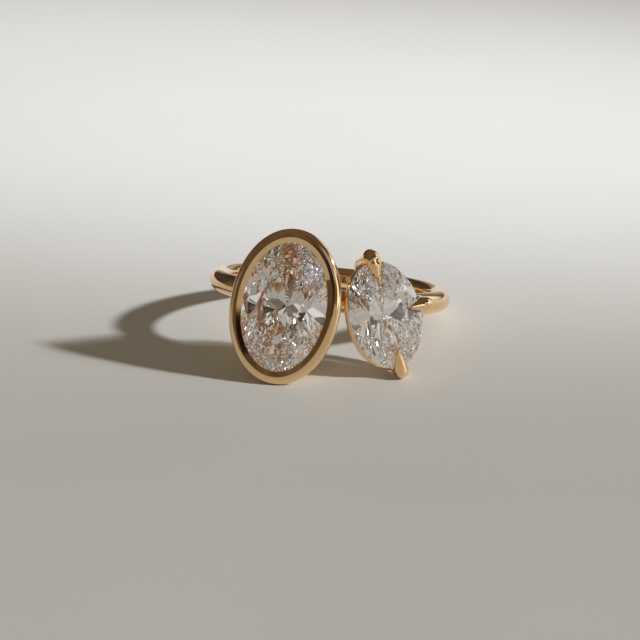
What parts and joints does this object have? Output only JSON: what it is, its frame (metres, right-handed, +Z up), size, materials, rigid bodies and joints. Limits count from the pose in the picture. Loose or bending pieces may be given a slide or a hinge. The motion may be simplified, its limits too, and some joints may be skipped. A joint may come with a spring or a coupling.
{
  "type": "toi et moi ring",
  "caption": "Finger ring lying on its side: a round wire shank carries a large oval stone in a bezel cup beside a smaller oval stone in a claw basket.",
  "frame": {"origin": "on the surface that the ring lies on, below the middle of its box", "axes": "+Z up, +Y from the stones to the back of the shank, +X to the right seen from the stones' side"},
  "size_m": [0.02, 0.0248, 0.0121],
  "materials": {
    "gold": "high polish, warm yellow gold",
    "bezel_stone": "faceted and polished, colourless",
    "claw_stone": "faceted and polished, colourless"
  },
  "bodies": {
    "root": {"gold_mount": "gold", "bezel_oval_stone": "bezel_stone", "claw_oval_stone": "claw_stone"}
  },
  "joints": []
}
